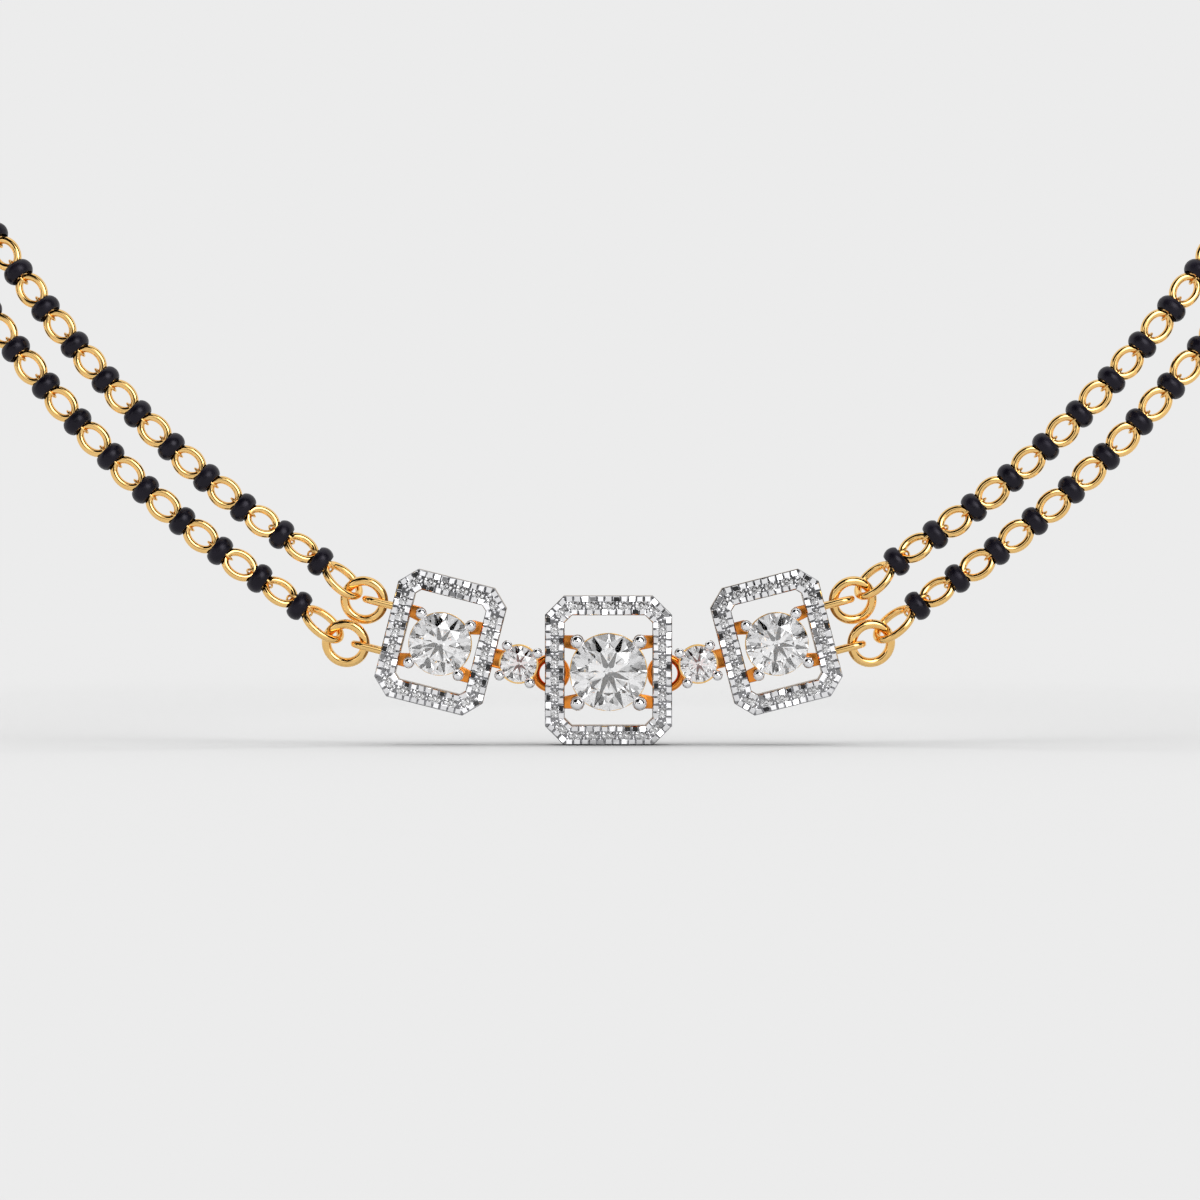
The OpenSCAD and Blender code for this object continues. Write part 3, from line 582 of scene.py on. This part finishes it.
def halo_ring(size):
    """The halo's octagonal band with softened front and back edges."""
    back = ((-HALO_DEEP, HALO_BEVEL), (HALO_BEVEL - HALO_DEEP, 0))
    front = ((-HALO_BEVEL, 0), (0, HALO_BEVEL))
    rows = [(z, inset_octagon(size, inset)) for z, inset in back + front]
    rows += [(z, inset_octagon(size, BAND - inset)) for z, inset in front[::-1] + back[::-1]]
    points = [(x, y, z) for z, outline in rows for x, y in outline]
    return np.array(points, float), wrapped(len(rows), 8)


def drilled(obj, size, stand, flip):
    """Cuts the seats and through holes of the small stones."""
    seat_r, hole_r = PAVE_D / 2 + STONE_GAP, HOLE_R * PAVE_D
    low, high = -HALO_DEEP - 1, 1
    profile = [(0, low), (hole_r, low), (hole_r, -SEAT_DEEP), (seat_r, -SEAT_DEEP), (seat_r, high), (0, high)]
    drill, bench = lathe(profile, 24, False), Group()
    for x, y in pave_spots(size):
        bench.add(drill, (x, y, 0))
    cutters = Group()
    cutters.add(bench.shape(), *stand)
    mesh = cutters.mesh("drills", flip)
    tool = linked("drills", mesh)
    cut = obj.modifiers.new("seats", "BOOLEAN")
    cut.operation, cut.solver, cut.object = "DIFFERENCE", "EXACT", tool
    done = bpy.data.meshes.new_from_object(obj.evaluated_get(bpy.context.evaluated_depsgraph_get()))
    obj.modifiers.clear()
    obj.data = done
    bpy.data.objects.remove(tool)
    bpy.data.meshes.remove(mesh)


def bars(size):
    """Middle, direction and outward direction of each outer edge of a halo, with its length."""
    w, h, c = size["w"], size["h"], size["corner"]
    out = []
    for sx, sy in ((1, 0), (0, 1), (-1, 0), (0, -1)):
        outward = np.array([sx, sy, 0.0])
        out.append((outward * (w / 2 if sx else h / 2), outward, (h if sx else w) - 2 * c))
    for sx, sy in ((1, 1), (-1, 1), (-1, -1), (1, -1)):
        outward = unit(np.array([sx, sy, 0.0]))
        out.append((np.array([sx * (w - c) / 2, sy * (h - c) / 2, 0]), outward, c * math.sqrt(2)))
    return out


GRAIN_PITCH, GRAIN_WIDE, GRAIN_HIGH, GRAIN_SUNK = 0.62, 0.45, 0.17, 0.1
GRAIN_LONG, GRAIN_SHOULDER, GRAIN_TOP, GRAIN_INSET = 0.86, 0.08, 0.39, 0.05
LEAN, DARK_LEAN = (0.15, 0.3), 0.2


def grain(long, tilt_u, tilt_v):
    """A square-cut grain with a bevelled rim whose top leans a little."""
    points = []
    for share, z in ((0.5, -GRAIN_SUNK), (0.5, GRAIN_SHOULDER), (GRAIN_TOP, GRAIN_HIGH)):
        for su, sv in ((-1, -1), (1, -1), (1, 1), (-1, 1)):
            u, v = su * share * long, sv * share * GRAIN_WIDE
            points.append((u, v, z + (u * tilt_u + v * tilt_v if z == GRAIN_HIGH else 0)))
    return np.array(points), [(3, 2, 1, 0), (8, 9, 10, 11)] + wrapped(3, 4, False)


def dark_share(outward, flip):
    """The share of a bar's grains that hardly lean and look dark: most on the bar at the left."""
    if outward[0] * (1 if flip else -1) > 0.9:
        return 0.45
    return 0.3 if outward[1] < 0.5 and outward[0] ** 2 < 0.6 else 0.14


def make_grains(size, rng, flip):
    """Rows of square grains along both edges of a halo."""
    shapes = Group()
    for middle, outward, long in bars(size):
        along = np.array([-outward[1], outward[0], 0])
        dark = dark_share(outward, flip)
        for inset in (GRAIN_INSET + GRAIN_WIDE / 2, BAND - GRAIN_INSET - GRAIN_WIDE / 2):
            row_long = long - 2 * inset * math.tan(math.pi / 8)
            count = max(1, round(row_long / GRAIN_PITCH))
            step = row_long / count
            for i in range(count):
                lean, way = rng.uniform(*LEAN), rng.uniform(0, 2 * math.pi)
                if rng.random() < dark:
                    lean *= DARK_LEAN
                shape = grain(GRAIN_LONG * step, lean * math.cos(way), lean * math.sin(way))
                shapes.add(shape, middle - outward * inset + along * (i - (count - 1) / 2) * step, along)
    return shapes


SEED_D, SEED_OUT, SEED_LIFT, NEIGHBOUR = 0.26, 0.17, 0.02, 1.9
MITRE_SEEDS = ((0.39, 0.4), (0.62, 0.24))  # the share of the way in, and the width


def between_stones(size):
    """Small round grains in the gaps along the rows of stones."""
    shapes = Group()
    spots = np.array(pave_spots(size))
    seed = ball(SEED_D, 6, 10)
    for i, a in enumerate(spots):
        for b in spots[i + 1:]:
            gap = b - a
            if np.linalg.norm(gap) < NEIGHBOUR:
                across = np.array([-gap[1], gap[0]]) / np.linalg.norm(gap)
                for s in (-1, 1):
                    shapes.add(seed, (*((a + b) / 2 + s * SEED_OUT * across), SEED_LIFT))
    # Larger ones where two bars meet
    for a, b in zip(np.array(inset_octagon(size, 0)), np.array(inset_octagon(size, BAND))):
        for share, d in MITRE_SEEDS:
            shapes.add(ball(d, 8, 12), (*(a + share * (b - a)), SEED_LIFT))
    return shapes


def setting(balls, gold, rims, spec, deep, rim, at):
    """Prong balls, their posts and the rim under the stone, round a point on the bench."""
    stone_d, ball_d, out = spec["stone_d"], spec["ball_d"], spec["prong_out"]
    reach = stone_d / 2 + out
    top = GIRDLE_LIFT + math.sqrt(max(0, (ball_d / 2 + STONE_GAP) ** 2 - out**2)) + GIRDLE * stone_d / 2
    post_r = out - POST_PLAY * STONE_GAP
    rim_top, rim_out = GIRDLE_LIFT - 0.2 * out - RIM_DROP * stone_d, stone_d / 2 + rim
    post = lathe([(0, -deep), (post_r, -deep), (post_r, top), (0, top)], 24, False)
    for k in range(4):
        a = math.radians(45 + 90 * k)
        where = np.array([at[0] + reach * math.cos(a), at[1] + reach * math.sin(a), 0])
        balls.add(ball(ball_d), where + np.array([0, 0, top]))
        gold.add(post, where)
    low, bore = rim_top - SETTING_DEEP, RIM_BORE * rim_out
    rims.add(lathe([(bore, low), (rim_out, low), (rim_out, rim_top), (bore, rim_top)], 96), (*at, 0))


def struts(gold, spec):
    """Four flared bars from a halo's inside to the posts of its stone."""
    off = (spec["stone_d"] / 2 + spec["prong_out"]) * math.sqrt(0.5)
    to, deep = spec["w"] / 2 - BAND + SOLDER, RIM_DROP * spec["stone_d"] + STRUT_DEEP
    for s in (-1, 1):
        for t in (-1, 1):
            outline = [(s * to, t * (off + STRUT_H / 2)), (s * off, t * (off + STRUT_H / 2)),
                       (s * off, t * (off - STRUT_H / 2 - STRUT_FLARE)), (s * to, t * (off - STRUT_H / 2))]
            if s * t < 0:
                outline = outline[::-1]
            gold.add(moved(prism(outline, -deep, STRUT_DEEP - deep), (0, -STONE_DROP, 0)))
    return deep


def box(x, y, z):
    return prism([(x[0], y[0]), (x[1], y[0]), (x[1], y[1]), (x[0], y[1])], *z)


def centre_parts():
    """Balls, gold parts coloured with painted shade, and rims of the centre halo, with the staples behind its
    upright bars.
    """
    balls, gold, rims = Group(), Group(), Group()
    deep = struts(gold, CENTRE)
    setting(balls, gold, rims, CENTRE, deep, STONE_RIM, (0, -STONE_DROP))
    far = EYE_D / 2 + EYE_GAP + STAPLE_WIRE
    back = -(HALO_DEEP + 2 * EYE_GAP + EYE_WIRE) - STAPLE_WIRE
    for s in (-1, 1):
        x = sorted(s * (EYE_AT[0] + k * STAPLE_WIRE / 2) for k in (-1, 1))
        low = EYE_V - STAPLE_WIRE / 2
        for y in (low, low + far):
            gold.add(box(x, (y, y + STAPLE_WIRE), (back, SOLDER - HALO_DEEP)))
        gold.add(box(x, (low, low + far + STAPLE_WIRE), (back, back + STAPLE_WIRE)))
    return balls, gold, rims


def side_parts():
    """Balls, gold parts coloured with painted shade, and rims and bails of the right halo."""
    balls, gold, rims = Group(), Group(), Group()
    deep = struts(gold, SIDE)
    setting(balls, gold, rims, SIDE, deep, STONE_RIM, (0, -STONE_DROP))
    setting(balls, gold, rims, ACCENT, ACCENT_DEEP, ACCENT_RIM, (ACCENT_U, -STONE_DROP))
    # Tab: a plate and its raised rim, open towards the halo
    x = ACCENT_U + ACCENT["stone_d"] / 2 - SOLDER / 2
    end = x + TAB_LEN + SOLDER / 2 + SOLDER
    y0, y1 = -STONE_DROP - TAB_H / 2, -STONE_DROP + TAB_H / 2
    floor, top = TAB_DEEP - TAB_HOLLOW - TAB_BACK, TAB_DEEP - TAB_BACK
    gold.add(box((x, end), (y0, y1), (-TAB_BACK, floor)))
    gold.add(prism([(x, y0), (end, y0), (end, y0 + TAB_RIM), (x + TAB_RIM, y0 + TAB_RIM),
                    (x + TAB_RIM, y1 - TAB_RIM), (end, y1 - TAB_RIM), (end, y1), (x, y1)], floor - 0.1, top))
    # Drum behind the accent stone
    bottom = EYE_FRONT - EYE_WIRE
    out, bore = DRUM_OUT * ACCENT["stone_d"] / 2, DRUM_BORE * ACCENT["stone_d"] / 2
    drum = lathe([(bore, bottom), (out, bottom), (out, -DRUM_TOP), (bore, -DRUM_TOP)], 72)
    gold.add(drum, (ACCENT_U, -STONE_DROP, 0))
    # Eye
    eye_r = (EYE_D - EYE_WIRE) / 2
    gold.add(oval(eye_r, eye_r, EYE_WIRE, 72, 20), (EYE_U, EYE_V, EYE_FRONT - EYE_WIRE / 2))
    # Bails: two runs of wire and the round end between them
    run = BAIL_REACH - BAIL_R - BAIL_WIRE / 2
    t = np.linspace(-np.pi / 2, np.pi / 2, 25)
    normals = np.stack([np.cos(t), np.sin(t), 0 * t], 1)
    path = BAIL_R * normals + np.array([run, 0, 0])
    ends = [np.array([[-SOLDER, s * BAIL_R, 0]]) for s in (-1, 1)]
    path = np.vstack([ends[0], path, ends[1]])
    normals = np.vstack([normals[:1], normals, normals[-1:]])
    bail = swept(path, normals, BAIL_WIRE, 20, False)
    for s in (-1, 1):
        rims.add(bail, (SIDE["w"] / 2, s * BAIL_SPREAD / 2, BAIL_MID), (1, 0, 0), (0, -1, 0))
    return balls, gold, rims


def stood(bench, stand):
    """A bench drawing stood in the pendant."""
    group = Group()
    group.add(bench.shape(), *stand)
    return group


def make_frame(side, size, stand, parts, seed):
    node, flip = f"{side}_frame", side == "left"
    band = Group()
    band.add(halo_ring(size))
    band, balls, gold, rims = (stood(part, stand) for part in (band, *parts))
    halo = band.piece(f"{side}_halo", PLATED, "white_gold", flip, smooth=False)
    drilled(halo, size, stand, flip)
    prong_balls = balls.piece(f"{side}_prong_balls", RHODIUM, "white_gold", flip)
    # The setting's gold is darkened to orange as painted shade
    mount = gold.piece(f"{side}_setting", SHADED_GOLD, "gold", flip)
    soften(mount, 0.06)
    edges = rims.piece(f"{side}_rims", GOLD, "gold", flip)
    soften(edges, 0.02)
    for piece in (halo, prong_balls, mount, edges):
        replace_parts(piece, node)
    grains = make_grains(size, random.Random(seed), flip)
    stood(grains, stand).piece(f"{side}_grains", RHODIUM, "white_gold", flip, smooth=False)
    stood(between_stones(size), stand).piece(f"{side}_seeds", RHODIUM, "white_gold", flip)


make_frame("centre", CENTRE, CENTRE_STAND, centre_parts(), 11)
SIDE_PARTS = side_parts()
make_frame("right", SIDE, SIDE_STAND, SIDE_PARTS, 12)
make_frame("left", SIDE, SIDE_STAND, SIDE_PARTS, 13)


# Carried-over solids
def finish_node(node, material):
    mesh = NODES[node].data
    mesh.materials.clear()
    mesh.materials.append(material)


for node in NODES:
    if node.endswith("stone") or node.endswith("pave"):
        finish_node(node, DIAMOND)
finish_node("clasp", GOLD)


# Studio: a pale floor that fades into the pale surroundings, a soft sun, and light and dark cards
PALE = 0.8388  # the photo's background, 236 of 255
SUN_WAY, SUN_RISE, SUN_STRENGTH, SUN_WIDE = 20, 88, 2.4, 55
# The tone at which the open floor is as light as the surroundings
FLOOR_TONE = PALE / (PALE + SUN_STRENGTH * math.sin(math.radians(SUN_RISE)) / math.pi)
# In metres: half its width, how far it lies behind and below, and where it turns into the surroundings
FLOOR_HALF, FLOOR_BACK, FLOOR_GAP, FLOOR_FADE = 12.0, 0.01, 0.00002, (0.12, 0.45)


def glowing(nodes, tone):
    """The output of a node that gives off a grey light."""
    glow = nodes.new("ShaderNodeEmission")
    glow.inputs["Color"].default_value = (tone, tone, tone, 1)
    return glow.outputs["Emission"]


def make_floor():
    m, nodes, links, bsdf = new_material("floor")
    nodes.remove(bsdf)
    diffuse = nodes.new("ShaderNodeBsdfDiffuse")
    diffuse.inputs["Color"].default_value = (FLOOR_TONE, FLOOR_TONE, FLOOR_TONE, 1)
    where = nodes.new("ShaderNodeTexCoord")
    length = nodes.new("ShaderNodeVectorMath")
    length.operation = "LENGTH"
    links.new(where.outputs["Object"], length.inputs[0])
    away = ranged(nodes, links, length.outputs["Value"], 0, 1, *FLOOR_FADE)
    mix = nodes.new("ShaderNodeMixShader")
    links.new(away, mix.inputs["Fac"])
    links.new(diffuse.outputs["BSDF"], mix.inputs[1])
    links.new(glowing(nodes, PALE), mix.inputs[2])
    links.new(mix.outputs["Shader"], nodes["Material Output"].inputs["Surface"])
    corners = [(FLOOR_HALF * x, FLOOR_HALF * y, 0) for x, y in ((-1, -1), (1, -1), (1, 1), (-1, 1))]
    mesh = bpy.data.meshes.new("floor")
    mesh.from_pydata(corners, [], [(0, 1, 2, 3)])
    mesh.materials.append(m)
    obj = linked("floor", mesh)
    obj.location = (0, MM * TO_ROW[1] + FLOOR_BACK, cad_box[0][2] - FLOOR_GAP)


FACE_OFF, FACE_WAY = 4, 6  # about how many degrees a face of a dome takes up


def dome_mesh(name, away, cells):
    """Cells of a dome round the pendant: (near, far, start, end, material index), in degrees off
    the line to the viewer, and degrees round that line from the right over the top."""
    points, faces, kinds = [], [], []
    for near, far, start, end, kind in cells:
        rows, columns = max(1, round((far - near) / FACE_OFF)), max(1, round((end - start) / FACE_WAY))
        k = len(points)
        for i in range(rows + 1):
            off = math.radians(near + (far - near) * i / rows)
            for j in range(columns + 1):
                way = math.radians(start + (end - start) * j / columns)
                ray = np.array([
                    math.sin(off) * math.cos(way), -math.cos(off), math.sin(off) * math.sin(way),
                ])
                points.append(tuple(MM * TO_ROW + away * ray))
        for i in range(rows):
            for j in range(columns):
                m = k + i * (columns + 1) + j
                faces.append((m, m + 1, m + columns + 2, m + columns + 1))
                kinds.append(kind)
    mesh = bpy.data.meshes.new(name)
    mesh.from_pydata(points, [], faces)
    mesh.polygons.foreach_set("material_index", kinds)
    return mesh


def glow_material(name, strength):
    m, nodes, links, bsdf = new_material(name)
    nodes.remove(bsdf)
    links.new(glowing(nodes, strength), nodes["Material Output"].inputs["Surface"])
    return m


def stage_dome(mesh, in_metal, in_stones):
    """Stands a dome that is only seen in the metals, or only through the stones."""
    obj = linked(mesh.name, mesh)
    obj.visible_camera = obj.visible_diffuse = obj.visible_shadow = False
    obj.visible_glossy, obj.visible_transmission = in_metal, in_stones


def make_patch(name, near, far, start, end, strength, away=0.6):
    """A card that the metals show, as one cell of a dome so many metres away."""
    mesh = dome_mesh(name, away, [(near, far, start, end, 0)])
    mesh.materials.append(glow_material(name, strength))
    stage_dome(mesh, True, False)


SPARKLE_AWAY = 0.5
SPARKLE_TONES = (0.0, 0.08, 0.22, 0.5, 0.9, 2.0)
# Rings of the sparkle: near, far and width of a cell in degrees, and the share of each tone
SPARKLE_RINGS = (
    (0, 9, 360, (1, 0, 0, 0, 0, 0)),
    (9, 24, 30, (0.25, 0.2, 0.2, 0.2, 0.15, 0)),
    (24, 38, 24, (0.2, 0.25, 0.2, 0.15, 0.1, 0.1)),
    (38, 53, 30, (0.3, 0.25, 0.2, 0.15, 0.05, 0.05)),
    (53, 68, 24, (0.15, 0.2, 0.2, 0.2, 0.15, 0.1)),
    (68, 90, 30, (0.1, 0.15, 0.2, 0.25, 0.2, 0.1)),
)


def make_sparkle(rng):
    """Light and dark cells that only the stones show: dark where they send the viewer's side back."""
    cells = []
    for near, far, wide, shares in SPARKLE_RINGS:
        for i in range(360 // wide):
            kind = rng.choices(range(len(SPARKLE_TONES)), shares)[0]
            cells.append((near, far, i * wide, (i + 1) * wide, kind))
    mesh = dome_mesh("sparkle", SPARKLE_AWAY, cells)
    for k, tone in enumerate(SPARKLE_TONES):
        mesh.materials.append(glow_material(f"sparkle_{k}", tone))
    stage_dome(mesh, False, True)


def make_world():
    world = bpy.data.worlds.new("studio")
    scene.world = world
    world.use_nodes = True
    background = world.node_tree.nodes["Background"]
    background.inputs["Color"].default_value = (PALE, PALE, PALE, 1)
    background.inputs["Strength"].default_value = 1.0
    world.cycles.sampling_method = "NONE"


def make_sun():
    data = bpy.data.lights.new("top_light", "SUN")
    data.energy = SUN_STRENGTH
    data.angle = math.radians(SUN_WIDE)
    obj = linked("top_light", data)
    obj.rotation_euler = (math.radians(90 - SUN_RISE), 0, math.radians(SUN_WAY))
    obj.visible_glossy = obj.visible_transmission = False


make_floor()
make_world()
make_sun()
# Cards: name, degrees off the line to the viewer, degrees round it, light, and metres away
for patch in (
    ("bright_dome", 0, 112, 0, 360, 1.08, 0.75),
    ("dark_axis", 0, 16, 0, 360, 0.04),
    ("dim_ring", 58, 80, 0, 360, 0.12, 0.65),
    ("black_upper_right", 54, 86, 12, 70, 0.01),
    ("black_lower_left", 54, 86, 200, 250, 0.01),
    ("black_upper_left", 34, 90, 96, 152, 0.01),
    ("grey_left", 16, 40, 160, 215, 0.25),
    ("grey_bottom", 16, 42, 255, 290, 0.3),
    ("light_upper_right", 22, 52, 20, 82, 4.5),
    ("light_right", 20, 46, -40, 5, 2.0),
):
    make_patch(*patch)
make_sparkle(random.Random(5))

scene.view_settings.view_transform = "Standard"
scene.cycles.max_bounces = 24
scene.cycles.glossy_bounces = 16
scene.cycles.transmission_bounces = 20
scene.cycles.caustics_reflective = False
scene.cycles.caustics_refractive = False
